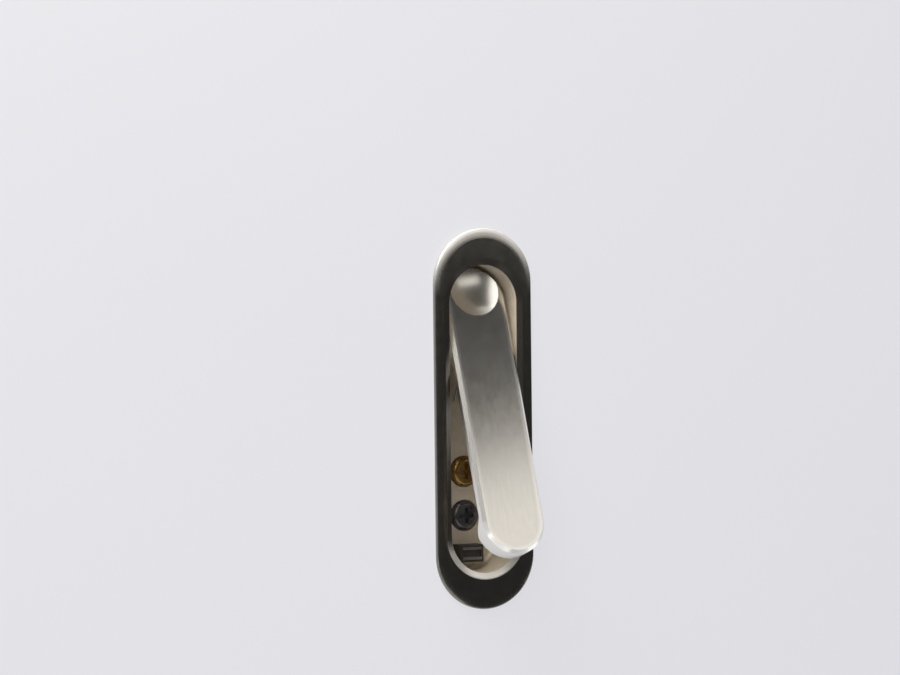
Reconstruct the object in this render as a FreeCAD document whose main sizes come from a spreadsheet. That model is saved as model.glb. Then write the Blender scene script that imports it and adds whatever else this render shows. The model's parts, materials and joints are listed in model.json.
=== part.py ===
import FreeCAD, Part
import Sketcher
import math
import os

# Flush pull for the edge of a pocket door. Its lever tips out of the cup when the dished end is pressed.
# X runs across the door's edge, +Y into the door, +Z up. The door's face is the plane y = 0,
# and the origin is at the middle of the face plate on that plane. All sizes are in millimetres.

DRIVING_SIZES = {
    # Face plate
    "plate_length": 160.0,
    "plate_width": 46.0,
    "plate_thickness": 2.2,
    "plate_slope_width": 2.4,
    "plate_slope_drop": 0.8,
    "plate_crown_round": 10.0,
    "plate_edge_round": 0.6,
    "plate_fit_gap": 0.1,
    # Cup
    "opening_length": 129.5,
    "opening_width": 32.0,
    "lip_width": 2.8,
    "lip_land": 0.4,
    "lip_drop": 0.9,
    "lip_thickness": 1.2,
    "cup_wall": 2.2,
    "floor_depth": 17.5,
    "floor_thickness": 3.0,
    "floor_round": 2.5,
    # Hinge
    "pin_from_top": 35.75,
    "pin_depth": 7.0,
    "pin_diameter": 5.0,
    "pin_end_chamfer": 0.5,
    "seat_gap": 0.01,
    "bush_wall": 1.0,
    "bush_flange_reach": 1.6,
    "bush_running_gap": 0.04,
    "bush_side_gap": 0.2,
    # Lever
    "lever_end_gap": 2.15,
    "lever_side_gap": 1.5,
    "lever_inset": 0.3,
    "head_edge": 6.0,
    "head_below_pin": 2.0,
    "head_slope": 7.0,
    "lever_edge": 3.6,
    "lever_skin": 2.4,
    "lever_rim": 2.4,
    "lever_chamfer": 1.4,
    "tip_edge": 8.5,
    "tip_slope_top": 17.0,
    "tip_slope_bottom": 9.5,
    "hollow_above_pin": 9.0,
    "ear_width": 5.0,
    "ear_radius": 6.0,
    "ear_foot": 9.0,
    "open_swing": 19.3,
    "dish_depth": 2.6,
    "dish_ball_radius": 26.0,
    "dish_shoulder_radius": 2.0,
    "dish_from_end": 10.0,
    "dish_run_out": 0.03,
    # Torsion spring
    "spring_wire": 1.2,
    "spring_coil_radius": 3.8,
    "spring_pitch": 1.35,
    "spring_whole_turns": 4,
    "spring_leg_length": 24.0,
    "spring_leg_gap": 0.1,
    # Heel buffer
    "buffer_width": 12.0,
    "buffer_length": 11.0,
    "buffer_from_top": 6.75,
    "buffer_gap": 0.15,
    "buffer_stem_diameter": 5.0,
    "buffer_stem_length": 2.0,
    # Magnetic catch and its striker
    "catch_from_bottom": 7.5,
    "catch_case_width": 11.0,
    "catch_case_height": 7.4,
    "catch_case_rise": 6.6,
    "catch_case_wall": 1.0,
    "catch_case_floor": 1.2,
    "catch_spigot_diameter": 4.0,
    "pole_thickness": 1.1,
    "pole_rise": 0.5,
    "magnet_sink": 0.8,
    "catch_fit_gap": 0.05,
    "striker_diameter": 5.4,
    "striker_chamfer": 0.5,
    "striker_gap": 0.35,
    # Fixing screws
    "screw_from_bottom": 23.15,
    "screw_spacing": 18.7,
    "screw_head_diameter": 12.6,
    "screw_head_height": 3.4,
    "screw_head_round": 2.2,
    "screw_neck_diameter": 3.6,
    "screw_neck_length": 4.0,
    "screw_thread_diameter": 5.0,
    "screw_length": 32.0,
    "screw_point_length": 6.0,
    "screw_hole_gap": 0.25,
    "screw_recess_span": 6.6,
    "screw_recess_width": 1.6,
    "screw_recess_depth": 1.8,
    "counterbore_diameter": 13.4,
    "counterbore_depth": 1.4,
}

LEVER_LENGTH = "(Sizes.opening_length - 2 * Sizes.lever_end_gap)"
LEVER_WIDTH = "(Sizes.opening_width - 2 * Sizes.lever_side_gap)"
CUP_WIDTH = "(Sizes.opening_width + 2 * Sizes.cup_wall)"
CUP_LENGTH = "(Sizes.opening_length + 2 * Sizes.cup_wall)"
LIP_WIDTH = "(Sizes.opening_width + 2 * Sizes.lip_width)"
LIP_LENGTH = "(Sizes.opening_length + 2 * Sizes.lip_width)"
# Heights on the middle plane, each set from the nearer end of the opening.
PIN_HEIGHT = "(Sizes.opening_length / 2 - Sizes.pin_from_top)"
BUFFER_TOP = "(Sizes.opening_length / 2 - Sizes.buffer_from_top)"
BUFFER_BOTTOM = f"({BUFFER_TOP} - Sizes.buffer_length)"
CATCH_HEIGHT = "(Sizes.catch_from_bottom - Sizes.opening_length / 2)"
SCREW_HEIGHTS = {"lower": "(Sizes.screw_from_bottom - Sizes.opening_length / 2)"}
SCREW_HEIGHTS["upper"] = f"({SCREW_HEIGHTS['lower']} + Sizes.screw_spacing)"
# From the pin's axis forward to the lever's front face, down to its tip and up to its top.
PIN_TO_FRONT = "(Sizes.pin_depth + Sizes.plate_thickness - Sizes.lever_inset)"
PIN_TO_TIP = f"({LEVER_LENGTH} / 2 + {PIN_HEIGHT})"
PIN_TO_TOP = f"({LEVER_LENGTH} / 2 - {PIN_HEIGHT})"
BUSH_RADIUS = "(Sizes.pin_diameter / 2 + Sizes.bush_running_gap + Sizes.bush_wall)"
CATCH_FACE = "(Sizes.floor_depth - Sizes.catch_case_rise)"
CAVITY_WIDTH = "(Sizes.catch_case_width - 2 * Sizes.catch_case_wall)"
CAVITY_HEIGHT = "(Sizes.catch_case_height - 2 * Sizes.catch_case_wall)"
CAVITY_FLOOR = "(Sizes.floor_depth - Sizes.catch_case_floor)"
BLOCK_WIDTH = f"({CAVITY_WIDTH} - 2 * Sizes.catch_fit_gap)"
# Lengths that differ by less than this count as the same when edges are looked up.
SAME_LENGTH = 1e-3

doc = FreeCAD.newDocument("pocket_door_pull")
sheet = doc.addObject("Spreadsheet::Sheet", "Sizes")
for row, (alias, value) in enumerate(DRIVING_SIZES.items(), start=1):
    sheet.set(f"A{row}", alias)
    sheet.set(f"B{row}", str(value))
    sheet.setAlias(f"B{row}", alias)
doc.recompute()


def size(alias):
    """A driving size, read from the sheet."""
    return float(sheet.get(alias))


def value(expression):
    """What an expression over the sheet comes to."""
    return float(sheet.evalExpression(expression))


# Sketch and feature helpers

def new_body(label):
    body = doc.addObject("PartDesign::Body", label)
    body.Label = label
    return body


def origin_plane(body, role):
    return next(item for item in body.Origin.OriginFeatures if item.Role == role)


def new_sketch(body, name, role, offset="0"):
    """A sketch on one of the body's own origin planes, moved along that plane's normal."""
    sketch = body.newObject("Sketcher::SketchObject", name)
    sketch.AttachmentSupport = [(origin_plane(body, role), "")]
    sketch.MapMode = "FlatFace"
    sketch.setExpression("AttachmentOffset.Base.z", offset)
    return sketch


def bind(sketch, expression, *constraint):
    """Adds a dimension and ties it to the sheet."""
    index = sketch.addConstraint(Sketcher.Constraint(*constraint, 1.0))
    sketch.setExpression(f"Constraints[{index}]", expression)


def locate(sketch, geometry, point, across, along):
    bind(sketch, across, "DistanceX", -1, 1, geometry, point)
    bind(sketch, along, "DistanceY", -1, 1, geometry, point)


def add_polygon(sketch, corners):
    """A closed outline of straight lines, each corner placed by two expressions."""
    count = len(corners)
    turn = 2 * math.pi / count
    guess = [FreeCAD.Vector(math.cos(turn * i), math.sin(turn * i), 0) for i in range(count)]
    lines = [sketch.addGeometry(Part.LineSegment(guess[i], guess[(i + 1) % count])) for i in range(count)]
    for i in range(count):
        sketch.addConstraint(Sketcher.Constraint("Coincident", lines[i], 2, lines[(i + 1) % count], 1))
    for line, (across, along) in zip(lines, corners):
        locate(sketch, line, 1, across, along)


def add_rectangle(sketch, width, height, across="0", along="0"):
    corners = []
    for side, level in ((-1, -1), (1, -1), (1, 1), (-1, 1)):
        corners.append((f"{across} + {side} * {width} / 2", f"{along} + {level} * {height} / 2"))
    add_polygon(sketch, corners)


def add_circle(sketch, diameter, across="0", along="0"):
    circle = sketch.addGeometry(Part.Circle(FreeCAD.Vector(0, 0, 0), FreeCAD.Vector(0, 0, 1), 1.0))
    locate(sketch, circle, 3, across, along)
    bind(sketch, f"{diameter} / 2", "Radius", circle)


def add_slot(sketch, length, width, middle="0"):
    """A round-ended outline, long along the sketch's second axis."""
    radius, reach = 10.0, 40.0
    normal = FreeCAD.Vector(0, 0, 1)
    top_circle = Part.Circle(FreeCAD.Vector(0, reach, 0), normal, radius)
    bottom_circle = Part.Circle(FreeCAD.Vector(0, -reach, 0), normal, radius)
    top = sketch.addGeometry(Part.ArcOfCircle(top_circle, 0, math.pi))
    bottom = sketch.addGeometry(Part.ArcOfCircle(bottom_circle, math.pi, 2 * math.pi))
    right = sketch.addGeometry(
        Part.LineSegment(FreeCAD.Vector(radius, -reach, 0), FreeCAD.Vector(radius, reach, 0)))
    left = sketch.addGeometry(
        Part.LineSegment(FreeCAD.Vector(-radius, reach, 0), FreeCAD.Vector(-radius, -reach, 0)))
    for arc, arc_end, line, line_end in ((top, 1, right, 2), (top, 2, left, 1),
                                         (bottom, 1, left, 2), (bottom, 2, right, 1)):
        sketch.addConstraint(Sketcher.Constraint("Tangent", arc, arc_end, line, line_end))
    for arc in (top, bottom):
        sketch.addConstraint(Sketcher.Constraint("PointOnObject", arc, 3, -2))
    sketch.addConstraint(Sketcher.Constraint("Equal", top, bottom))
    bind(sketch, f"{width} / 2", "Radius", top)
    bind(sketch, f"{length} / 2 - {width} / 2 + {middle}", "DistanceY", -1, 1, top, 3)
    bind(sketch, f"{length} / 2 - {width} / 2 - {middle}", "DistanceY", bottom, 3, -1, 1)


def extrude(body, kind, name, sketch, length=None, reverse=False, symmetric=False):
    """A pad or pocket. With no length it goes through everything."""
    feature = body.newObject(f"PartDesign::{kind}", name)
    feature.Profile = sketch
    if symmetric:
        feature.SideType = "Symmetric"
    if length is None:
        feature.Type = "ThroughAll"
    else:
        feature.setExpression("Length", length)
    feature.Reversed = reverse
    doc.recompute()
    return feature


def revolve(body, kind, name, sketch, axis):
    feature = body.newObject(f"PartDesign::{kind}", name)
    feature.Profile = sketch
    feature.ReferenceAxis = (sketch, [axis])
    feature.Angle = 360.0
    doc.recompute()
    return feature


def edge_names(feature, wanted):
    """Names of the edges whose ends and middle all pass a test."""
    names = []
    for number, edge in enumerate(feature.Shape.Edges, start=1):
        middle = edge.valueAt((edge.FirstParameter + edge.LastParameter) / 2)
        if all(wanted(point) for point in [middle] + [vertex.Point for vertex in edge.Vertexes]):
            names.append(f"Edge{number}")
    return names


def at_depth(depth, inside=None):
    """A test for points at one depth, and within a half width where one is given."""
    def test(point):
        level = abs(point.y - depth) < SAME_LENGTH
        return level and (inside is None or abs(point.x) < inside + SAME_LENGTH)
    return test


def dress(body, kind, name, base, edges, **expressions):
    """A chamfer or fillet on named edges, its sizes tied to the sheet."""
    feature = body.newObject(f"PartDesign::{kind}", name)
    feature.Base = (base, edges)
    if "Size2" in expressions:
        feature.ChamferType = "Two distances"
    for prop, expression in expressions.items():
        feature.setExpression(prop, expression)
    doc.recompute()
    return feature


def place(body, depth="0", height="0", swing=None):
    """Puts a body's origin on the middle plane, turned about X where a swing is given."""
    about_x = FreeCAD.Rotation(FreeCAD.Vector(1, 0, 0), 1.0)
    body.Placement = FreeCAD.Placement(FreeCAD.Vector(0, 0, 0), about_x)
    body.setExpression("Placement.Base.y", depth)
    body.setExpression("Placement.Base.z", height)
    body.setExpression("Placement.Rotation.Angle", swing or "0")


# Sub-parts

def make_face_plate():
    """The visible plate, with a soft sloping border and a rebate for the cup's lip."""
    body = new_body("face_plate")
    outline = new_sketch(body, "plate_outline", "XZ_Plane")
    add_slot(outline, "Sizes.plate_length", "Sizes.plate_width")
    plate = extrude(body, "Pad", "plate", outline, "Sizes.plate_thickness")
    front = edge_names(plate, at_depth(-size("plate_thickness")))
    slope = dress(body, "Chamfer", "plate_slope", plate, front,
                  Size="Sizes.plate_slope_drop", Size2="Sizes.plate_slope_width")
    crest = edge_names(slope, at_depth(-size("plate_thickness")))
    crown = dress(body, "Fillet", "plate_crown", slope, crest, Radius="Sizes.plate_crown_round")
    drop_depth = size("plate_slope_drop") - size("plate_thickness")
    dress(body, "Fillet", "plate_edge", crown, edge_names(crown, at_depth(drop_depth)),
          Radius="Sizes.plate_edge_round")
    slack = "2 * Sizes.plate_fit_gap"
    hole = new_sketch(body, "plate_hole", "XZ_Plane", "Sizes.plate_thickness")
    add_slot(hole, f"({CUP_LENGTH} + {slack})", f"({CUP_WIDTH} + {slack})")
    extrude(body, "Pocket", "plate_opening", hole)
    rebate = new_sketch(body, "rebate_outline", "XZ_Plane", "Sizes.plate_thickness")
    add_slot(rebate, f"({LIP_LENGTH} + {slack})", f"({LIP_WIDTH} + {slack})")
    extrude(body, "Pocket", "lip_rebate", rebate, "Sizes.lip_thickness")
    return body


def make_cup():
    """The cast recess, with a bevelled lip and with holes for the pin and for all that its floor carries."""
    body = new_body("cup")
    front = "Sizes.plate_thickness"
    lip = new_sketch(body, "lip_outline", "XZ_Plane", front)
    add_slot(lip, LIP_LENGTH, LIP_WIDTH)
    extrude(body, "Pad", "lip", lip, "Sizes.lip_thickness", reverse=True)
    shell = new_sketch(body, "shell_outline", "XZ_Plane", front)
    add_slot(shell, CUP_LENGTH, CUP_WIDTH)
    extrude(body, "Pad", "shell", shell,
            "Sizes.plate_thickness + Sizes.floor_depth + Sizes.floor_thickness", reverse=True)
    mouth = new_sketch(body, "mouth_outline", "XZ_Plane", front)
    add_slot(mouth, "Sizes.opening_length", "Sizes.opening_width")
    recess = extrude(body, "Pocket", "recess", mouth, "Sizes.plate_thickness + Sizes.floor_depth")
    inner = size("opening_width") / 2
    corner = edge_names(recess, at_depth(size("floor_depth"), inner))
    rounded = dress(body, "Fillet", "floor_corner", recess, corner, Radius="Sizes.floor_round")
    rim = edge_names(rounded, at_depth(-size("plate_thickness"), inner))
    dress(body, "Chamfer", "lip_bevel", rounded, rim,
          Size="Sizes.lip_drop", Size2="Sizes.lip_width - Sizes.lip_land")
    pin_hole = new_sketch(body, "pin_hole_outline", "YZ_Plane")
    add_circle(pin_hole, "(Sizes.pin_diameter + 2 * Sizes.seat_gap)", "Sizes.pin_depth", PIN_HEIGHT)
    extrude(body, "Pocket", "pin_holes", pin_hole, symmetric=True)
    floor = "-Sizes.floor_depth"
    for name, height in SCREW_HEIGHTS.items():
        bore = new_sketch(body, f"{name}_counterbore_outline", "XZ_Plane", floor)
        add_circle(bore, "Sizes.counterbore_diameter", "0", height)
        extrude(body, "Pocket", f"{name}_counterbore", bore, "Sizes.counterbore_depth")
        hole = new_sketch(body, f"{name}_screw_hole_outline", "XZ_Plane", floor)
        add_circle(hole, "(Sizes.screw_thread_diameter + 2 * Sizes.screw_hole_gap)", "0", height)
        extrude(body, "Pocket", f"{name}_screw_hole", hole)
    catch = new_sketch(body, "catch_hole_outline", "XZ_Plane", floor)
    add_circle(catch, "(Sizes.catch_spigot_diameter + 2 * Sizes.seat_gap)", "0", CATCH_HEIGHT)
    extrude(body, "Pocket", "catch_hole", catch)
    stem = new_sketch(body, "buffer_hole_outline", "XZ_Plane", floor)
    add_circle(stem, "(Sizes.buffer_stem_diameter + 2 * Sizes.seat_gap)", "0",
               f"({BUFFER_TOP} + {BUFFER_BOTTOM}) / 2")
    extrude(body, "Pocket", "buffer_hole", stem, "Sizes.buffer_stem_length + Sizes.seat_gap")
    return body


def make_lever():
    """The cast lever, drawn shut about the pin's axis and then tipped out by its swing."""
    body = new_body("lever")
    outline = new_sketch(body, "lever_outline", "XZ_Plane", PIN_TO_FRONT)
    add_slot(outline, LEVER_LENGTH, LEVER_WIDTH, f"(-{PIN_HEIGHT})")
    slab = extrude(body, "Pad", "slab", outline, "Sizes.tip_edge", reverse=True)
    dress(body, "Chamfer", "front_chamfer", slab, edge_names(slab, at_depth(value(f"-{PIN_TO_FRONT}"))),
          Size="Sizes.lever_chamfer")
    # The back is thinned from the side. The head stays thick for the dish and the tip deep for the fingers.
    profile = new_sketch(body, "back_profile", "YZ_Plane")
    head = f"Sizes.head_edge - {PIN_TO_FRONT}"
    thin = f"Sizes.lever_edge - {PIN_TO_FRONT}"
    deep = f"Sizes.tip_edge - {PIN_TO_FRONT}"
    clear = f"{deep} + Sizes.tip_edge"
    add_polygon(profile, [
        (head, f"{PIN_TO_TOP} + Sizes.tip_edge"),
        (head, "-Sizes.head_below_pin"),
        (thin, "-Sizes.head_below_pin - Sizes.head_slope"),
        (thin, f"Sizes.tip_slope_top - {PIN_TO_TIP}"),
        (deep, f"Sizes.tip_slope_bottom - {PIN_TO_TIP}"),
        (clear, f"Sizes.tip_slope_bottom - {PIN_TO_TIP}"),
        (clear, f"{PIN_TO_TOP} + Sizes.tip_edge")])
    extrude(body, "Pocket", "thinned_back", profile, symmetric=True)
    hollow = new_sketch(body, "hollow_outline", "XZ_Plane", f"{PIN_TO_FRONT} - Sizes.lever_skin")
    below_pin = f"({PIN_TO_TIP} - Sizes.lever_rim)"
    hollow_width = f"({LEVER_WIDTH} - 2 * Sizes.lever_rim)"
    add_slot(hollow, f"(Sizes.hollow_above_pin + {below_pin})", hollow_width,
             f"(Sizes.hollow_above_pin - {below_pin}) / 2")
    extrude(body, "Pocket", "hollow_back", hollow)
    add_ears(body)
    add_thumb_dish(body)
    return body


def add_ears(body):
    """Two ears behind the lever's skin that carry the bushes."""
    ear = new_sketch(body, "ear_outline", "YZ_Plane", f"{LEVER_WIDTH} / 2 - Sizes.ear_width")
    radius, foot = size("ear_radius"), size("ear_foot")
    top, bottom = FreeCAD.Vector(0, radius, 0), FreeCAD.Vector(0, -radius, 0)
    foot_top, foot_bottom = FreeCAD.Vector(-radius, foot, 0), FreeCAD.Vector(-radius, -foot, 0)
    circle = Part.Circle(FreeCAD.Vector(0, 0, 0), FreeCAD.Vector(0, 0, 1), radius)
    arc = ear.addGeometry(Part.ArcOfCircle(circle, -math.pi / 2, math.pi / 2))
    upper = ear.addGeometry(Part.LineSegment(top, foot_top))
    base = ear.addGeometry(Part.LineSegment(foot_top, foot_bottom))
    lower = ear.addGeometry(Part.LineSegment(foot_bottom, bottom))
    for first, first_end, second, second_end in ((arc, 2, upper, 1), (upper, 2, base, 1),
                                                 (base, 2, lower, 1), (lower, 2, arc, 1)):
        ear.addConstraint(Sketcher.Constraint("Coincident", first, first_end, second, second_end))
    ear.addConstraint(Sketcher.Constraint("Coincident", arc, 3, -1, 1))
    ear.addConstraint(Sketcher.Constraint("PointOnObject", arc, 1, -2))
    ear.addConstraint(Sketcher.Constraint("PointOnObject", arc, 2, -2))
    bind(ear, "Sizes.ear_radius", "Radius", arc)
    skin_back = f"Sizes.lever_skin - {PIN_TO_FRONT}"
    locate(ear, base, 1, skin_back, "Sizes.ear_foot")
    locate(ear, base, 2, skin_back, "-Sizes.ear_foot")
    right = extrude(body, "Pad", "right_ear", ear, "Sizes.ear_width")
    mirrored = body.newObject("PartDesign::Mirrored", "left_ear")
    mirrored.Originals = [right]
    mirrored.MirrorPlane = (origin_plane(body, "YZ_Plane"), [""])
    body.Tip = mirrored
    doc.recompute()
    bore = new_sketch(body, "ear_bore_outline", "YZ_Plane")
    add_circle(bore, f"2 * ({BUSH_RADIUS} + Sizes.seat_gap)")
    extrude(body, "Pocket", "ear_bores", bore, symmetric=True)


def add_thumb_dish(body):
    """The hollow that the thumb presses: a ball's curve that rolls over a round shoulder into the face."""
    profile = new_sketch(body, "dish_profile", "YZ_Plane")
    profile.setExpression("AttachmentOffset.Base.y", f"{PIN_TO_TOP} - Sizes.dish_from_end")
    # The shoulder tops out a hair in front of the face, so that the two cross on a clear edge.
    crest = f"(-{PIN_TO_FRONT} - Sizes.dish_run_out)"
    sunk = "(Sizes.dish_depth + Sizes.dish_run_out)"
    both_radii = "(Sizes.dish_ball_radius + Sizes.dish_shoulder_radius)"
    reach = f"sqrt({sunk} * (2 * {both_radii} - {sunk}))"
    meeting = f"{reach} * Sizes.dish_ball_radius / {both_radii}"
    ball_depth = f"({crest} + {sunk} - Sizes.dish_ball_radius)"
    shoulder_depth = f"({crest} + Sizes.dish_shoulder_radius)"
    clear = f"({crest} - Sizes.dish_depth)"

    normal = FreeCAD.Vector(0, 0, 1)
    lean = math.asin(value(f"{reach} / {both_radii}"))
    ball_middle = FreeCAD.Vector(value(ball_depth), 0, 0)
    shoulder_middle = FreeCAD.Vector(value(shoulder_depth), value(reach), 0)
    ball_circle = Part.Circle(ball_middle, normal, size("dish_ball_radius"))
    shoulder_circle = Part.Circle(shoulder_middle, normal, size("dish_shoulder_radius"))
    crest_end = FreeCAD.Vector(value(crest), value(reach), 0)
    clear_end = FreeCAD.Vector(value(clear), value(reach), 0)
    clear_axis = FreeCAD.Vector(value(clear), 0, 0)
    bottom = FreeCAD.Vector(value(f"{crest} + {sunk}"), 0, 0)
    ball = profile.addGeometry(Part.ArcOfCircle(ball_circle, 0, lean))
    shoulder = profile.addGeometry(Part.ArcOfCircle(shoulder_circle, math.pi, math.pi + lean))
    lines = [profile.addGeometry(Part.LineSegment(*ends))
             for ends in ((crest_end, clear_end), (clear_end, clear_axis), (clear_axis, bottom))]
    for first, first_end, second, second_end in ((ball, 2, shoulder, 2), (shoulder, 1, lines[0], 1),
                                                 (lines[0], 2, lines[1], 1), (lines[1], 2, lines[2], 1),
                                                 (lines[2], 2, ball, 1)):
        profile.addConstraint(Sketcher.Constraint("Coincident", first, first_end, second, second_end))
    locate(profile, ball, 3, ball_depth, "0")
    bind(profile, "Sizes.dish_ball_radius", "Radius", ball)
    profile.addConstraint(Sketcher.Constraint("PointOnObject", ball, 1, -1))
    bind(profile, meeting, "DistanceY", -1, 1, ball, 2)
    locate(profile, shoulder, 3, shoulder_depth, reach)
    bind(profile, reach, "DistanceY", -1, 1, shoulder, 1)
    locate(profile, lines[1], 1, clear, reach)
    locate(profile, lines[2], 1, clear, "0")
    revolve(body, "Groove", "thumb_dish", profile, "H_Axis")


def make_hinge_pin():
    body = new_body("hinge_pin")
    profile = new_sketch(body, "pin_profile", "XY_Plane")
    half = f"({CUP_WIDTH} / 2)"
    radius = "Sizes.pin_diameter / 2"
    shoulder = f"{half} - Sizes.pin_end_chamfer"
    nose = f"{radius} - Sizes.pin_end_chamfer"
    add_polygon(profile, [(f"-{half}", "0"), (half, "0"), (half, nose), (shoulder, radius),
                          (f"-({shoulder})", radius), (f"-{half}", nose)])
    revolve(body, "Revolution", "pin", profile, "H_Axis")
    place(body, "Sizes.pin_depth", PIN_HEIGHT)
    return body


def make_hinge_bush(label, side):
    """A flanged bush in one ear, its flange taking up the gap to the cup's wall."""
    body = new_body(label)
    profile = new_sketch(body, f"{label}_profile", "XY_Plane")
    ear_face = f"{side} * {LEVER_WIDTH} / 2"
    sleeve_end = f"{side} * ({LEVER_WIDTH} / 2 - Sizes.ear_width)"
    flange_face = f"{side} * ({LEVER_WIDTH} / 2 + Sizes.lever_side_gap - Sizes.bush_side_gap)"
    bore = "Sizes.pin_diameter / 2 + Sizes.bush_running_gap"
    flange = f"{BUSH_RADIUS} + Sizes.bush_flange_reach"
    add_polygon(profile, [(sleeve_end, bore), (flange_face, bore), (flange_face, flange),
                          (ear_face, flange), (ear_face, BUSH_RADIUS), (sleeve_end, BUSH_RADIUS)])
    revolve(body, "Revolution", f"{label}_turning", profile, "H_Axis")
    place(body, "Sizes.pin_depth", PIN_HEIGHT)
    return body


def make_torsion_spring():
    """Wire wound round the pin, one leg on the cup's floor and the other behind the lever's skin."""
    wire_radius = size("spring_wire") / 2
    coil = size("spring_coil_radius")
    leg = size("spring_leg_length")
    swing = math.radians(size("open_swing"))
    to_floor = size("floor_depth") - size("pin_depth") - wire_radius - size("spring_leg_gap")
    to_skin = value(f"{PIN_TO_FRONT} - Sizes.lever_skin") - wire_radius - size("spring_leg_gap")
    # Each leg leaves the coil on a tangent and reaches its rest at the leg's end.
    floor_lean = leg_lean(coil, leg, to_floor)
    skin_lean = leg_lean(coil, leg, to_skin)
    start_angle = floor_lean
    end_angle = math.pi - swing - skin_lean
    turns = size("spring_whole_turns") + (end_angle - start_angle) / (2 * math.pi)
    height = size("spring_pitch") * turns
    helix = Part.makeHelix(size("spring_pitch"), height, coil).Edges[0]
    axis_along_x = FreeCAD.Matrix(0, 0, 1, -height / 2,
                                  math.cos(start_angle), -math.sin(start_angle), 0, 0,
                                  math.sin(start_angle), math.cos(start_angle), 0, 0,
                                  0, 0, 0, 1)
    helix.Placement = FreeCAD.Placement(axis_along_x)
    first, last = helix.FirstParameter, helix.LastParameter
    start, start_way = helix.valueAt(first), helix.tangentAt(first).normalize()
    end, end_way = helix.valueAt(last), helix.tangentAt(last).normalize()
    floor_tip = start - start_way * leg
    skin_tip = end + end_way * leg
    path = Part.Wire([Part.makeLine(floor_tip, start), helix, Part.makeLine(end, skin_tip)])
    section = Part.Wire(Part.makeCircle(wire_radius, floor_tip, start_way))
    spring = doc.addObject("Part::Feature", "torsion_spring")
    spring.Label = "torsion_spring"
    spring.Shape = path.makePipeShell([section], True, False)
    spring.setExpression("Placement.Base.y", "Sizes.pin_depth")
    spring.setExpression("Placement.Base.z", PIN_HEIGHT)
    return spring


def leg_lean(coil, leg, rest):
    """The lean, in radians, of a leg that leaves a coil on a tangent and ends at a rest's distance."""
    reach = math.hypot(coil, leg)
    return math.asin(rest / reach) - math.asin(coil / reach)


def make_heel_buffer():
    """A rubber wedge under the lever's upper end, its face laid against the tipped lever's back."""
    body = new_body("heel_buffer")
    profile = new_sketch(body, "wedge_profile", "YZ_Plane")
    behind_pin = f"({PIN_TO_FRONT} - Sizes.head_edge - Sizes.buffer_gap)"

    def face_at(height):
        rise = f"({height} - {PIN_HEIGHT}) * tan(Sizes.open_swing)"
        return f"Sizes.pin_depth - {behind_pin} / cos(Sizes.open_swing) + {rise}"
    add_polygon(profile, [("Sizes.floor_depth", BUFFER_BOTTOM), ("Sizes.floor_depth", BUFFER_TOP),
                          (face_at(BUFFER_TOP), BUFFER_TOP), (face_at(BUFFER_BOTTOM), BUFFER_BOTTOM)])
    extrude(body, "Pad", "wedge", profile, "Sizes.buffer_width", symmetric=True)
    stem = new_sketch(body, "stem_outline", "XZ_Plane", "-Sizes.floor_depth")
    add_circle(stem, "Sizes.buffer_stem_diameter", "0", f"({BUFFER_TOP} + {BUFFER_BOTTOM}) / 2")
    extrude(body, "Pad", "stem", stem, "Sizes.buffer_stem_length", reverse=True)
    return body


def make_catch_case():
    """The moulded case of the magnetic catch, open at the front, with a spigot in the cup's floor."""
    body = new_body("catch_case")
    block = new_sketch(body, "case_outline", "XZ_Plane", "-Sizes.floor_depth")
    add_rectangle(block, "Sizes.catch_case_width", "Sizes.catch_case_height", "0", CATCH_HEIGHT)
    extrude(body, "Pad", "case_block", block, "Sizes.catch_case_rise")
    spigot = new_sketch(body, "spigot_outline", "XZ_Plane", "-Sizes.floor_depth")
    add_circle(spigot, "Sizes.catch_spigot_diameter", "0", CATCH_HEIGHT)
    extrude(body, "Pad", "spigot", spigot, "Sizes.floor_thickness", reverse=True)
    cavity = new_sketch(body, "cavity_outline", "XZ_Plane", f"-{CATCH_FACE}")
    add_rectangle(cavity, CAVITY_WIDTH, CAVITY_HEIGHT, "0", CATCH_HEIGHT)
    extrude(body, "Pocket", "cavity", cavity, "Sizes.catch_case_rise - Sizes.catch_case_floor")
    return body


def make_pole_plate(label, side):
    """A steel plate on one side of the magnet, standing a little proud of the case."""
    body = new_body(label)
    outline = new_sketch(body, f"{label}_outline", "XZ_Plane", f"-{CAVITY_FLOOR}")
    away = f"({CAVITY_HEIGHT} / 2 - Sizes.catch_fit_gap - Sizes.pole_thickness / 2)"
    add_rectangle(outline, BLOCK_WIDTH, "Sizes.pole_thickness",
                  "0", f"{CATCH_HEIGHT} + {side} * {away}")
    extrude(body, "Pad", f"{label}_plate", outline,
            "Sizes.catch_case_rise - Sizes.catch_case_floor + Sizes.pole_rise")
    return body


def make_catch_magnet():
    body = new_body("catch_magnet")
    outline = new_sketch(body, "magnet_outline", "XZ_Plane", f"-{CAVITY_FLOOR}")
    between = f"({CAVITY_HEIGHT} - 2 * Sizes.catch_fit_gap - 2 * Sizes.pole_thickness)"
    add_rectangle(outline, BLOCK_WIDTH, between, "0", CATCH_HEIGHT)
    extrude(body, "Pad", "magnet_block", outline,
            "Sizes.catch_case_rise - Sizes.catch_case_floor - Sizes.magnet_sink")
    return body


def make_striker():
    """A steel slug behind the lever's tip that comes up to the catch's poles when the lever is shut."""
    body = new_body("striker")
    outline = new_sketch(body, "striker_outline", "XZ_Plane", f"{PIN_TO_FRONT} - Sizes.lever_skin")
    add_circle(outline, "Sizes.striker_diameter", "0", f"{CATCH_HEIGHT} - {PIN_HEIGHT}")
    face = f"({CATCH_FACE} - Sizes.pole_rise - Sizes.striker_gap - Sizes.pin_depth)"
    slug = extrude(body, "Pad", "slug", outline, f"{PIN_TO_FRONT} - Sizes.lever_skin + {face}",
                   reverse=True)
    dress(body, "Chamfer", "slug_edge", slug, edge_names(slug, at_depth(value(face))),
          Size="Sizes.striker_chamfer")
    return body


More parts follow.
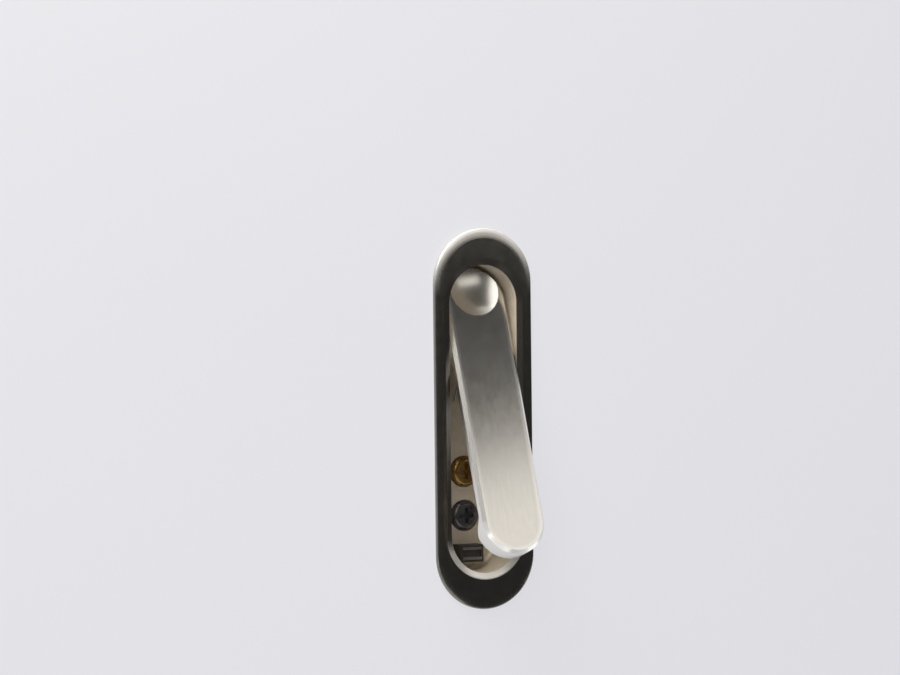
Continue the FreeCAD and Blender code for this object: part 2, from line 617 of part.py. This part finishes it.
def make_fixing_screw(label, height):
    """A pan-head screw with a crossed recess, seated in its counterbore."""
    body = new_body(label)
    profile = new_sketch(body, f"{label}_profile", "XY_Plane")
    seat = "Sizes.floor_depth + Sizes.counterbore_depth"
    face = f"{seat} - Sizes.screw_head_height"
    neck_end = f"{seat} + Sizes.screw_neck_length"
    end = f"{seat} + Sizes.screw_length"
    head = "Sizes.screw_head_diameter / 2"
    neck = "Sizes.screw_neck_diameter / 2"
    thread = "Sizes.screw_thread_diameter / 2"
    add_polygon(profile, [("0", face), (head, face), (head, seat), (neck, seat), (neck, neck_end),
                          (thread, neck_end), (thread, f"{end} - Sizes.screw_point_length"), ("0", end)])
    turning = revolve(body, "Revolution", f"{label}_turning", profile, "V_Axis")
    dress(body, "Fillet", f"{label}_head_edge", turning, edge_names(turning, at_depth(value(face))),
          Radius="Sizes.screw_head_round")
    spans = (("Sizes.screw_recess_span", "Sizes.screw_recess_width"),
             ("Sizes.screw_recess_width", "Sizes.screw_recess_span"))
    for number, (width, tall) in enumerate(spans, start=1):
        arm = new_sketch(body, f"{label}_recess_{number}", "XZ_Plane", f"-({face})")
        add_rectangle(arm, width, tall)
        extrude(body, "Pocket", f"{label}_recess_cut_{number}", arm, "Sizes.screw_recess_depth")
    place(body, "0", height)
    return body


def make_all():
    lever = make_lever()
    striker = make_striker()
    for piece in (lever, striker):
        place(piece, "Sizes.pin_depth", PIN_HEIGHT, "-Sizes.open_swing")
    parts = [make_face_plate(), make_cup(), lever, striker, make_hinge_pin()]
    for name, side in (("left", -1), ("right", 1)):
        parts.append(make_hinge_bush(f"{name}_hinge_bush", side))
    parts += [make_torsion_spring(), make_heel_buffer(), make_catch_case(), make_catch_magnet()]
    for name, side in (("upper", 1), ("lower", -1)):
        parts.append(make_pole_plate(f"{name}_pole_plate", side))
        parts.append(make_fixing_screw(f"{name}_fixing_screw", SCREW_HEIGHTS[name]))
    return parts


def check_and_write(parts):
    doc.recompute()
    failed = [item.Name for item in doc.Objects if "Invalid" in item.State or "Error" in item.State]
    if failed:
        raise RuntimeError(f"features that failed: {failed}")
    for piece in parts:
        if piece.Shape.isNull() or not piece.Shape.isValid() or not piece.Shape.Solids:
            raise RuntimeError(f"no valid solid: {piece.Label}")
    os.makedirs("parts", exist_ok=True)
    for piece in parts:
        piece.Shape.exportStep(f"parts/{piece.Label}.step")
        print(f"{piece.Label}: {len(piece.Shape.Solids)} solid, {piece.Shape.Volume:.1f} mm3")


check_and_write(make_all())
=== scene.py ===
import bmesh
import bpy
import json
import math
from mathutils import Matrix, Quaternion, Vector


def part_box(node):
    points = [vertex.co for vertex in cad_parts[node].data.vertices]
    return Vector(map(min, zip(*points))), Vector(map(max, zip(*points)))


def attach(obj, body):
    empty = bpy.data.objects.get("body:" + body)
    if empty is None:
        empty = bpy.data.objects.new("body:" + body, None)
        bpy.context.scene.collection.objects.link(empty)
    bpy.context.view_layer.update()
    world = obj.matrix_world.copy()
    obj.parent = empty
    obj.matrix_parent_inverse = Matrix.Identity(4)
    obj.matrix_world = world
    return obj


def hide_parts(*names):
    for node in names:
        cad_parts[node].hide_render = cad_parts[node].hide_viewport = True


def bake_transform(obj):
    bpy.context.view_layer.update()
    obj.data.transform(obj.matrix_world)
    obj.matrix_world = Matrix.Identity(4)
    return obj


# Looks, camera and light for the pocket door pull. Lengths are in metres and angles in degrees, in the
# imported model's frame: X across the plate, +Y behind it, +Z up, and the plate's back at y = 0.

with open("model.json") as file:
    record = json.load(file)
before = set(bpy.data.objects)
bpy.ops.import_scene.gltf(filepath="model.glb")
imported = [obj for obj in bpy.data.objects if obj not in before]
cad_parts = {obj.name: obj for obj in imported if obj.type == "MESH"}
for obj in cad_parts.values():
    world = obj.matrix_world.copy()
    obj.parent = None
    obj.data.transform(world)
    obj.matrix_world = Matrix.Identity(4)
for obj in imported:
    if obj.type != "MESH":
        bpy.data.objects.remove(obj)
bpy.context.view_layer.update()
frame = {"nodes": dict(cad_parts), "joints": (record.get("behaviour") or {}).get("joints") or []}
nodes = frame["nodes"]

# At rest the lever is tipped out by its whole swing, so its own directions lean by that angle
hinge = next(joint for joint in frame["joints"] if joint["name"] == "lever_swing")
hinge_middle = Vector(hinge["pos_m"])
swing = math.radians(hinge["range_deg"][1])
lever_lengthways = Vector((0.0, math.sin(swing), math.cos(swing)))
lever_outwards = Vector((0.0, -math.cos(swing), math.sin(swing)))

# The photograph's frame and how the pull stands in it
IMAGE_WIDTH = 900
PIXELS_PER_METRE = 2383.0
VIEW_AZIMUTH = -28.0
VIEW_ELEVATION = 2.2
VIEW_ROLL = -0.65
VIEW_DISTANCE = 2.5
AIM_LEFT_OF_PLATE = 0.0144
AIM_ABOVE_PLATE = 0.0344

# Where a surface's finish changes, and where highlights and shade are painted on
LIP_DEPTH = 0.0012
# The lip is painted pale as a painted highlight below this height.
LIP_HIGHLIGHT_BELOW = -0.050
LIP_HIGHLIGHT_FADE = 0.006
PLATE_RIM = 0.0032
PLATE_RIM_FULL = PLATE_RIM / 3
# The plate rim's painted highlight fades out downwards between these two heights.
PLATE_HIGHLIGHT_LOWEST = 0.052
PLATE_HIGHLIGHT_FULL_ABOVE = 0.074
LEVER_RIM = 0.0032
LEVER_RIM_FULL = LEVER_RIM / 2
LEVER_HALF_LENGTH = 0.0626
PIN_ABOVE_LEVER_MIDDLE = 0.029
MASK_EDGE = 0.0001

# The lever's thumb dish, which is cut with a ball
DISH_ABOVE_PIN = 0.0236
FACE_BEFORE_PIN = 0.0089
DISH_RADIUS = 0.0119
DISH_DEPTH = 0.0026
DISH_BALL_RADIUS = 0.026
DISH_EVEN_RADIUS = 0.009
dish_middle = hinge_middle + lever_lengthways * DISH_ABOVE_PIN + lever_outwards * FACE_BEFORE_PIN
dish_bottom = dish_middle - lever_outwards * DISH_DEPTH
dish_ball_middle = dish_bottom + lever_outwards * DISH_BALL_RADIUS

# How surfaces vary
NOISE_DETAIL = 3.0
NOISE_LOW = 0.3
NOISE_HIGH = 0.7
MOTTLE_SIZE = 0.004
RELIEF_PER_GRAIN = 0.25
EVEN_GRAIN = (1.0, 1.0, 1.0)
BRUSH_STRETCH = 40.0
BRUSHED_LENGTHWAYS = (1.0, BRUSH_STRETCH, BRUSH_STRETCH)

# A mix node's sockets for each kind of value: first input, second input and output
MIX_SOCKETS = {"FLOAT": (2, 3, 0), "VECTOR": (4, 5, 1), "RGBA": (6, 7, 2)}


# Shader helpers

def new_material(name):
    """A material, its node tree and its principled shader."""
    material = bpy.data.materials.new(name)
    material.use_nodes = True
    tree = material.node_tree
    return material, tree, tree.nodes["Principled BSDF"]


def add_node(tree, kind, inputs=None, **properties):
    """A new node with its properties set, and its inputs set or linked by name or number."""
    node = tree.nodes.new(kind)
    for name, value in properties.items():
        setattr(node, name, value)
    for name, value in (inputs or {}).items():
        if isinstance(value, bpy.types.NodeSocket):
            tree.links.new(value, node.inputs[name])
        else:
            node.inputs[name].default_value = value
    return node


def calculate(tree, operation, first, second=0.0):
    """The result of a sum or comparison of one or two numbers."""
    node = add_node(tree, "ShaderNodeMath", {0: first, 1: second}, operation=operation)
    return node.outputs["Value"]


def measure(tree, operation, first, second=(0.0, 0.0, 0.0)):
    """The number that an operation on one or two vectors gives."""
    node = add_node(tree, "ShaderNodeVectorMath", {0: first, 1: second}, operation=operation)
    return node.outputs["Value"]


def mix_values(tree, kind, factor, first, second):
    """A value between two of one kind, by the factor."""
    first_input, second_input, output = MIX_SOCKETS[kind]
    inputs = {"Factor": factor, first_input: first, second_input: second}
    return add_node(tree, "ShaderNodeMix", inputs, data_type=kind).outputs[output]


def spread(tree, source, low, high, from_low=NOISE_LOW, from_high=NOISE_HIGH):
    """A number that runs from low to high as the source does, and stops there."""
    ranged = add_node(tree, "ShaderNodeMapRange",
                      {"Value": source, "From Min": from_low, "From Max": from_high,
                       "To Min": low, "To Max": high})
    return ranged.outputs["Result"]


def place_in_frame(tree):
    """A point's place in the frame, as a vector."""
    return add_node(tree, "ShaderNodeTexCoord").outputs["Object"]


def coordinates(tree):
    """A point's X, Y and Z in the frame."""
    parts = add_node(tree, "ShaderNodeSeparateXYZ", {"Vector": place_in_frame(tree)})
    return parts.outputs["X"], parts.outputs["Y"], parts.outputs["Z"]


def noise(tree, size, stretch=EVEN_GRAIN):
    """Noise whose features are about one size across, drawn out along the axes that a stretch names."""
    scale = [1.0 / (size * factor) for factor in stretch]
    mapping = add_node(tree, "ShaderNodeMapping", {"Vector": place_in_frame(tree), "Scale": scale})
    grain = add_node(tree, "ShaderNodeTexNoise",
                     {"Vector": mapping.outputs["Vector"], "Scale": 1.0, "Detail": NOISE_DETAIL})
    return grain.outputs["Fac"]


def shade(colour, factor):
    """A colour made lighter or darker."""
    return tuple(min(1.0, channel * factor) for channel in colour)


def tint(tree, factor, first, second):
    """A colour between two, by the factor."""
    return mix_values(tree, "RGBA", factor, (*first, 1.0), (*second, 1.0))


def make_surface(name, colour, roughness, metallic, grain, stretch=EVEN_GRAIN,
                 bump=0.05, uneven=0.06, contrast=0.12):
    """A worked surface: a fine grain in its relief and gloss, and a soft unevenness in its colour."""
    material, tree, shader = new_material(name)
    fine = noise(tree, grain, stretch)
    broad = noise(tree, MOTTLE_SIZE)
    colours = tint(tree, spread(tree, broad, 0.0, 1.0),
                   shade(colour, 1.0 - contrast), shade(colour, 1.0 + contrast))
    gloss = calculate(tree, "ADD", spread(tree, fine, roughness - uneven, roughness + uneven),
                      spread(tree, broad, -uneven / 2, uneven / 2))
    relief = add_node(tree, "ShaderNodeBump",
                      {"Strength": bump, "Distance": grain * RELIEF_PER_GRAIN, "Height": fine})
    shader.inputs["Metallic"].default_value = metallic
    tree.links.new(colours, shader.inputs["Base Color"])
    tree.links.new(gloss, shader.inputs["Roughness"])
    tree.links.new(relief.outputs["Normal"], shader.inputs["Normal"])
    return material


def refinish_and_paint_light(material, make_mask, **finish):
    """Gives a surface another finish where a mask is 1; it also paints highlights and shade on. Values go
    by the shader's socket names.
    """
    tree = material.node_tree
    shader = tree.nodes["Principled BSDF"]
    mask = make_mask(tree)
    for name, value in finish.items():
        socket = shader.inputs[name.replace("_", " ")]
        before = socket.links[0].from_socket if socket.is_linked else socket.default_value
        if isinstance(value, tuple):
            after = mix_values(tree, "RGBA", mask, before, (*value, 1.0))
        else:
            after = mix_values(tree, "FLOAT", mask, before, value)
        tree.links.new(after, socket)


# Masks for changes of finish, and for painted highlights and painted shade

def lip_mask(tree):
    """1 on the cup's lip, which lies in front of everything else of the cup, and which is painted dark as
    painted shade.
    """
    _, y, _ = coordinates(tree)
    lip_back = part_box("face_plate")[0].y + LIP_DEPTH
    return spread(tree, y, 1.0, 0.0, lip_back - MASK_EDGE, lip_back)


def lip_highlight_mask(tree):
    """1 on the lip's lower end, which is painted pale as a painted highlight."""
    _, _, z = coordinates(tree)
    lowest = spread(tree, z, 1.0, 0.0, LIP_HIGHLIGHT_BELOW - LIP_HIGHLIGHT_FADE, LIP_HIGHLIGHT_BELOW)
    return calculate(tree, "MULTIPLY", lip_mask(tree), lowest)


def slot_reach(tree, across, along, half_spine):
    """How far a point lies from the straight spine of a slot, seen square on."""
    past_spine = calculate(tree, "SUBTRACT", calculate(tree, "ABSOLUTE", along), half_spine)
    beyond = calculate(tree, "MAXIMUM", past_spine, 0.0)
    offset = add_node(tree, "ShaderNodeCombineXYZ", {"X": across, "Y": beyond})
    return measure(tree, "LENGTH", offset.outputs["Vector"])


def plate_rim_highlight_mask(tree):
    """1 near the plate's outline, except on its back, fading out downwards: the rim's painted highlight."""
    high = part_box("face_plate")[1]
    x, y, z = coordinates(tree)
    reach = slot_reach(tree, x, z, high.z - high.x)
    near = spread(tree, reach, 0.0, 1.0, high.x - PLATE_RIM, high.x - PLATE_RIM_FULL)
    before_back = spread(tree, y, 1.0, 0.0, high.y - 2 * MASK_EDGE, high.y - MASK_EDGE)
    upper = spread(tree, z, 0.0, 1.0, PLATE_HIGHLIGHT_LOWEST, PLATE_HIGHLIGHT_FULL_ABOVE)
    return calculate(tree, "MULTIPLY", calculate(tree, "MULTIPLY", near, before_back), upper)


def lever_rim_highlight_mask(tree):
    """1 near the lever's outline, which is painted lighter as a painted highlight."""
    half_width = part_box("lever")[1].x
    middle = hinge_middle.dot(lever_lengthways) - PIN_ABOVE_LEVER_MIDDLE
    x, _, _ = coordinates(tree)
    along = measure(tree, "DOT_PRODUCT", place_in_frame(tree), lever_lengthways)
    from_middle = calculate(tree, "SUBTRACT", along, middle)
    reach = slot_reach(tree, x, from_middle, LEVER_HALF_LENGTH - half_width)
    return spread(tree, reach, 0.0, 1.0, half_width - LEVER_RIM, half_width - LEVER_RIM_FULL)


def dish_mask(tree):
    """1 in the lever's thumb dish."""
    away = measure(tree, "DISTANCE", place_in_frame(tree), dish_middle)
    return spread(tree, away, 1.0, 0.0, DISH_RADIUS - 2 * MASK_EDGE, DISH_RADIUS)


def even_out_dish(material):
    """Shades the dish as the ball it is cut with, because the mesh's shading has a spot at its centre."""
    tree = material.node_tree
    place = place_in_frame(tree)
    away = measure(tree, "DISTANCE", place, dish_bottom)
    near = spread(tree, away, 1.0, 0.0, DISH_EVEN_RADIUS / 2, DISH_EVEN_RADIUS)
    to_ball = add_node(tree, "ShaderNodeVectorMath", {0: dish_ball_middle, 1: place}, operation="SUBTRACT")
    facing = add_node(tree, "ShaderNodeVectorTransform", {"Vector": to_ball.outputs["Vector"]},
                      vector_type="NORMAL", convert_from="OBJECT", convert_to="WORLD")
    own = add_node(tree, "ShaderNodeNewGeometry").outputs["Normal"]
    normal = mix_values(tree, "VECTOR", near, own, facing.outputs["Vector"])
    relief = tree.nodes["Principled BSDF"].inputs["Normal"].links[0].from_node
    tree.links.new(normal, relief.inputs["Normal"])


# Materials

# The plate's dark colour is a painted reflection of dark surroundings in its satin metal.
plate_metal = make_surface("dark_satin_plate", (0.28, 0.265, 0.24), roughness=0.22, metallic=1.0,
                           grain=0.0003, stretch=BRUSHED_LENGTHWAYS, bump=0.03, uneven=0.03, contrast=0.05)
cup_metal = make_surface("cast_cup", (0.75, 0.665, 0.535), roughness=0.46, metallic=0.3, grain=0.0006,
                         bump=0.12, uneven=0.08, contrast=0.07)
lever_metal = make_surface("satin_lever", (0.66, 0.64, 0.60), roughness=0.20, metallic=1.0, grain=0.00025,
                           stretch=BRUSHED_LENGTHWAYS, bump=0.02, uneven=0.02, contrast=0.03)
plated_metal = make_surface("plated_steel", (0.62, 0.62, 0.60), roughness=0.30, metallic=1.0, grain=0.0004,
                            bump=0.02, uneven=0.03, contrast=0.05)
wire_metal = make_surface("spring_steel", (0.42, 0.41, 0.39), roughness=0.35, metallic=1.0, grain=0.0003)
bush_plastic = make_surface("acetal_bush", (0.78, 0.76, 0.70), roughness=0.45, metallic=0.0, grain=0.0004,
                            contrast=0.05)
buffer_rubber = make_surface("buffer_rubber", (0.025, 0.025, 0.025), roughness=0.75, metallic=0.0,
                             grain=0.0005, bump=0.2)
case_plastic = make_surface("case_plastic", (0.05, 0.048, 0.045), roughness=0.5, metallic=0.0, grain=0.0005,
                            bump=0.1)
magnet_stone = make_surface("ferrite", (0.055, 0.053, 0.05), roughness=0.65, metallic=0.0, grain=0.0004,
                            bump=0.2)
# The yellow screw's colour is darkened as painted shade, for the lever's shadow over it.
yellow_metal = make_surface("yellow_screw", (0.37, 0.23, 0.075), roughness=0.30, metallic=1.0, grain=0.0004)
black_metal = make_surface("black_screw", (0.14, 0.14, 0.147), roughness=0.30, metallic=0.8, grain=0.0004,
                           contrast=0.3)

# The cup's lip is painted dark as painted shade, and its lower end pale as a painted highlight.
refinish_and_paint_light(cup_metal, lip_mask, Base_Color=(0.30, 0.28, 0.25), Roughness=0.2, Metallic=1.0)
refinish_and_paint_light(cup_metal, lip_highlight_mask, Base_Color=(0.88, 0.85, 0.79), Roughness=0.25, Metallic=0.5)
# The plate's rim is painted pale as a painted highlight, fading out downwards.
refinish_and_paint_light(plate_metal, plate_rim_highlight_mask, Base_Color=(0.90, 0.88, 0.84), Roughness=0.45, Metallic=0.25)
# The lever's rim is painted lighter as a painted highlight along its edge.
refinish_and_paint_light(lever_metal, lever_rim_highlight_mask, Base_Color=(0.88, 0.86, 0.82), Roughness=0.25)
refinish_and_paint_light(lever_metal, dish_mask, Base_Color=(0.66, 0.64, 0.60), Roughness=0.26)
even_out_dish(lever_metal)


def dress_node(material, slot, *names):
    """Gives CAD nodes their material. The slot is not used."""
    for name in names:
        nodes[name].data.materials.clear()
        nodes[name].data.materials.append(material)


dress_node(plate_metal, "dark_satin_plate", "face_plate")
dress_node(cup_metal, "cast_cup", "cup")
dress_node(lever_metal, "satin_lever", "lever")
dress_node(plated_metal, "plated_steel", "striker", "hinge_pin", "upper_pole_plate", "lower_pole_plate")
dress_node(wire_metal, "spring_steel", "torsion_spring")
dress_node(bush_plastic, "acetal_bush", "left_hinge_bush", "right_hinge_bush")
dress_node(buffer_rubber, "buffer_rubber", "heel_buffer")
dress_node(case_plastic, "case_plastic", "catch_case")
dress_node(magnet_stone, "ferrite", "catch_magnet")
dress_node(yellow_metal, "yellow_screw", "upper_fixing_screw")
dress_node(black_metal, "black_screw", "lower_fixing_screw")


# Pieces that stand for CAD nodes, which have their materials already

SCREW_HEAD_HEIGHT = 0.0034
SCREW_NECK_LENGTH = 0.004
SCREW_NECK_KEPT = 0.002
SHANK_OVERLAP = 0.001
SCREW_NECK_RADIUS = 0.0018
SCREW_THREAD_RADIUS = 0.0025
SCREW_POINT_LENGTH = 0.006
THREAD_PITCH = 0.0022
THREAD_FLANK = 0.22
ROWS_PER_PITCH = 14
THREAD_SIDES = 36
SAME_PLACE = 1e-6


def copy_of(node_name, name):
    """A free copy of a CAD node's mesh, in the same place."""
    data = nodes[node_name].data.copy()
    data.name = name
    piece = bpy.data.objects.new(name, data)
    bpy.context.scene.collection.objects.link(piece)
    return piece


def make_spring():
    """The torsion spring, as a free copy of the CAD spring. The real spring winds up along its coil as the
    lever swings; this copy does not.
    """
    piece = copy_of("torsion_spring", "wound_spring")
    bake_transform(piece)
    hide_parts("torsion_spring")


def thread_radius(along, length, angle):
    """The thread's surface at one place: a core with one sharp ridge round it, tapering to the point."""
    taper = min(1.0, (length - along) / SCREW_POINT_LENGTH)
    run_in = min(1.0, along / THREAD_PITCH)
    phase = (along / THREAD_PITCH - angle / math.tau) % 1.0
    ridge = max(0.0, 1.0 - abs(phase - 0.5) / THREAD_FLANK)
    height = (SCREW_THREAD_RADIUS - SCREW_NECK_RADIUS) * ridge * run_in
    return (SCREW_NECK_RADIUS + height) * taper


def cut_off_shank(mesh, cut):
    """Leaves only what lies before a place along Y, and closes it there."""
    bmesh.ops.remove_doubles(mesh, verts=mesh.verts[:], dist=SAME_PLACE)
    everything = mesh.verts[:] + mesh.edges[:] + mesh.faces[:]
    bmesh.ops.bisect_plane(mesh, geom=everything, plane_co=(0.0, cut, 0.0), plane_no=(0.0, 1.0, 0.0),
                           clear_outer=True)
    bmesh.ops.holes_fill(mesh, edges=[edge for edge in mesh.edges if edge.is_boundary])


def add_threaded_shank(mesh, middle, start, thread_start, end):
    """A closed shank along Y: plain up to where the thread starts, then threaded to its point."""
    rows = round((end - start) / THREAD_PITCH * ROWS_PER_PITCH)
    rings = []
    for row in range(rows):
        y = start + (end - start) * row / rows
        ring = []
        for side in range(THREAD_SIDES):
            angle = math.tau * side / THREAD_SIDES
            radius = thread_radius(max(0.0, y - thread_start), end - thread_start, angle)
            x = middle.x + radius * math.cos(angle)
            z = middle.z + radius * math.sin(angle)
            ring.append(mesh.verts.new((x, y, z)))
        rings.append(ring)
    for first, second in zip(rings, rings[1:]):
        for side in range(THREAD_SIDES):
            mesh.faces.new((first[side - 1], first[side], second[side], second[side - 1]))
    mesh.faces.new(rings[0])
    tip = mesh.verts.new((middle.x, end, middle.z))
    for side in range(THREAD_SIDES):
        mesh.faces.new((rings[-1][side - 1], rings[-1][side], tip))


def make_screw(node_name, name):
    """A fixing screw: the CAD screw's head and neck, with a cut thread in place of its plain shank."""
    piece = copy_of(node_name, name)
    low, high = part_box(node_name)
    head_back = low.y + SCREW_HEAD_HEIGHT
    cut = head_back + SCREW_NECK_KEPT
    mesh = bmesh.new()
    mesh.from_mesh(piece.data)
    cut_off_shank(mesh, cut)
    add_threaded_shank(mesh, (low + high) / 2, cut - SHANK_OVERLAP, head_back + SCREW_NECK_LENGTH, high.y)
    bmesh.ops.recalc_face_normals(mesh, faces=mesh.faces[:])
    mesh.to_mesh(piece.data)
    mesh.free()
    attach(piece, "housing")
    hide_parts(node_name)


make_spring()
make_screw("upper_fixing_screw", "upper_threaded_screw")
make_screw("lower_fixing_screw", "lower_threaded_screw")


# Stage

WALL_HALF = 1.2
WALL_BEHIND_PLATE = 0.0002
FLOOR_BELOW = 1.0
FLOOR_REACH = 0.85
CUP_CLEARANCE = 0.0004
OUTLINE_STEPS = 24
BACKDROP = (0.775, 0.775, 0.81)
BACKDROP_DARKEST = 0.985
BACKDROP_MOTTLE = 0.3
BACKDROP_ROUGHNESS = 0.9
BACKDROP_OWN_SHARE = 0.75
BACKDROP_GLOW = 1.1


def make_backdrop_material(name):
    """A pale matt surface that keeps part of its own paleness for what the camera and metal see of it."""
    material, tree, shader = new_material(name)
    mottled = spread(tree, noise(tree, BACKDROP_MOTTLE), 0.0, 1.0)
    colours = tint(tree, mottled, shade(BACKDROP, BACKDROP_DARKEST), BACKDROP)
    shader.inputs["Roughness"].default_value = BACKDROP_ROUGHNESS
    tree.links.new(colours, shader.inputs["Base Color"])
    glow = add_node(tree, "ShaderNodeEmission", {"Color": colours, "Strength": BACKDROP_GLOW})
    path = add_node(tree, "ShaderNodeLightPath")
    seen = calculate(tree, "MAXIMUM", path.outputs["Is Camera Ray"], path.outputs["Is Glossy Ray"])
    seen = calculate(tree, "MAXIMUM", seen, path.outputs["Is Transmission Ray"])
    share = calculate(tree, "MULTIPLY", seen, BACKDROP_OWN_SHARE)
    both = add_node(tree, "ShaderNodeMixShader",
                    {0: share, 1: shader.outputs["BSDF"], 2: glow.outputs["Emission"]})
    tree.links.new(both.outputs["Shader"], tree.nodes["Material Output"].inputs["Surface"])
    return material


def open_from_behind(material):
    """Lets light through a backdrop, and sight through its back, so that the pull's back shows."""
    tree = material.node_tree
    surface = tree.nodes["Material Output"].inputs["Surface"]
    side = add_node(tree, "ShaderNodeNewGeometry")
    path = add_node(tree, "ShaderNodeLightPath")
    through = calculate(tree, "MAXIMUM", side.outputs["Backfacing"], path.outputs["Is Shadow Ray"])
    clear = add_node(tree, "ShaderNodeBsdfTransparent")
    gone = add_node(tree, "ShaderNodeMixShader",
                    {0: through, 1: surface.links[0].from_socket, 2: clear.outputs["BSDF"]})
    tree.links.new(gone.outputs["Shader"], surface)


def place_on_stage(name, mesh, material):
    """Turns a finished mesh into a piece of the stage."""
    data = bpy.data.meshes.new(name)
    mesh.to_mesh(data)
    mesh.free()
    data.materials.append(material)
    stage_piece = bpy.data.objects.new(name, data)
    bpy.context.scene.collection.objects.link(stage_piece)


def round_ended_outline(half_width, half_length):
    """Points round a slot that is long along Z, as (x, z)."""
    reach = half_length - half_width
    points = []
    for side, start in ((1, 0.0), (-1, math.pi)):
        for step in range(OUTLINE_STEPS + 1):
            angle = start + math.pi * step / OUTLINE_STEPS
            points.append((half_width * math.cos(angle), side * reach + half_width * math.sin(angle)))
    return points


def make_wall(material):
    """A plain wall that the plate lies on, with a slot that the cup goes through."""
    half_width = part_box("hinge_pin")[1].x + CUP_CLEARANCE
    half_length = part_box("cup")[1].z + CUP_CLEARANCE
    corners = [(-WALL_HALF, -FLOOR_BELOW), (WALL_HALF, -FLOOR_BELOW),
               (WALL_HALF, WALL_HALF), (-WALL_HALF, WALL_HALF)]
    mesh = bmesh.new()
    edges = []
    for outline in (corners, round_ended_outline(half_width, half_length)):
        ring = [mesh.verts.new((x, WALL_BEHIND_PLATE, z)) for x, z in outline]
        edges += [mesh.edges.new(ends) for ends in zip(ring[-1:] + ring, ring)]
    bmesh.ops.triangle_fill(mesh, edges=edges, use_beauty=True, normal=(0.0, -1.0, 0.0))
    place_on_stage("backdrop_wall", mesh, material)


def make_floor(material):
    """A plain floor below the pull."""
    corners = [(-WALL_HALF, -FLOOR_REACH), (WALL_HALF, -FLOOR_REACH),
               (WALL_HALF, FLOOR_REACH), (-WALL_HALF, FLOOR_REACH)]
    mesh = bmesh.new()
    mesh.faces.new([mesh.verts.new((x, y, -FLOOR_BELOW)) for x, y in corners])
    place_on_stage("backdrop_floor", mesh, material)


wall_surface = make_backdrop_material("backdrop_wall")
open_from_behind(wall_surface)
make_wall(wall_surface)
make_floor(make_backdrop_material("backdrop_floor"))


# Light

WORLD_COLOUR = (0.055, 0.054, 0.053)
WHITE = (1.0, 1.0, 1.0)


def direction(azimuth, elevation):
    """A unit vector from the pull: azimuth 0 is straight out of the plate, and positive to its right."""
    around = math.radians(azimuth)
    up = math.radians(elevation)
    return Vector((math.sin(around) * math.cos(up), -math.cos(around) * math.cos(up), math.sin(up)))


def add_softbox(name, towards, distance, size, radiance, colour=WHITE, roll=0.0):
    """A soft lamp that faces the pull. Its power follows from its size and how bright its face looks."""
    width, height = size
    lamp = bpy.data.lights.new(name, "AREA")
    lamp.shape = "RECTANGLE"
    lamp.size = width
    lamp.size_y = height
    lamp.energy = radiance * math.pi * width * height
    lamp.color = colour
    holder = bpy.data.objects.new(name, lamp)
    holder.location = direction(*towards) * distance
    facing = direction(*towards).to_track_quat("Z", "Y")
    holder.rotation_euler = (facing @ Quaternion((0.0, 0.0, 1.0), math.radians(roll))).to_euler()
    holder.visible_camera = False
    bpy.context.scene.collection.objects.link(holder)


def light_world():
    """Fills the shadows with a little light from all round."""
    world = bpy.data.worlds.new("studio")
    world.use_nodes = True
    world.node_tree.nodes["Background"].inputs["Color"].default_value = (*WORLD_COLOUR, 1.0)
    bpy.context.scene.world = world


# The main light, from above on the left and from straight above
add_softbox("key", (-76, 54), distance=0.8, size=(0.6, 0.6), radiance=5.8, colour=(1.0, 0.97, 0.91))
add_softbox("top", (0, 84), distance=0.8, size=(0.75, 0.5), radiance=1.45)

# What the lever's face and the right of its dish reflect
add_softbox("front_right", (34, 21.6), distance=0.45, size=(0.36, 0.10), radiance=1.2,
            colour=(1.0, 0.97, 0.93))
add_softbox("tall", (-27, 40), distance=0.8, size=(0.45, 1.0), radiance=1.85, colour=(1.0, 0.98, 0.95))

# What the lever's chamfer reflects, from its left side round its tip
add_softbox("left", (-57, -1), distance=0.8, size=(0.35, 0.6), radiance=0.66)
add_softbox("low_left", (-26, -31), distance=0.7, size=(0.84, 0.25), radiance=1.05, roll=-38)
add_softbox("low_right", (82, -30), distance=0.7, size=(0.35, 0.3), radiance=1.2)

# Light on the pull's back
add_softbox("rear", (180, 18), distance=0.9, size=(0.9, 0.7), radiance=2.5)

light_world()


# Camera

def make_camera():
    """Stands where the photograph was taken from: far off, to the pull's left and a little above it."""
    back = direction(VIEW_AZIMUTH, VIEW_ELEVATION)
    facing = back.to_track_quat("Z", "Y")
    right = facing @ Vector((1, 0, 0))
    up = facing @ Vector((0, 1, 0))
    low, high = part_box("face_plate")
    plate_front = Vector(((low.x + high.x) / 2, low.y, (low.z + high.z) / 2))
    aim = plate_front - right * AIM_LEFT_OF_PLATE + up * AIM_ABOVE_PLATE
    data = bpy.data.cameras.new("photo_camera")
    data.lens = data.sensor_width * VIEW_DISTANCE * PIXELS_PER_METRE / IMAGE_WIDTH
    camera = bpy.data.objects.new("photo_camera", data)
    roll = Matrix.Rotation(math.radians(VIEW_ROLL), 4, "Z")
    stand = Matrix.Translation(aim + back * VIEW_DISTANCE)
    camera.matrix_world = stand @ facing.to_matrix().to_4x4() @ roll
    bpy.context.scene.collection.objects.link(camera)
    bpy.context.scene.camera = camera


make_camera()
bpy.context.scene.view_settings.view_transform = "Standard"
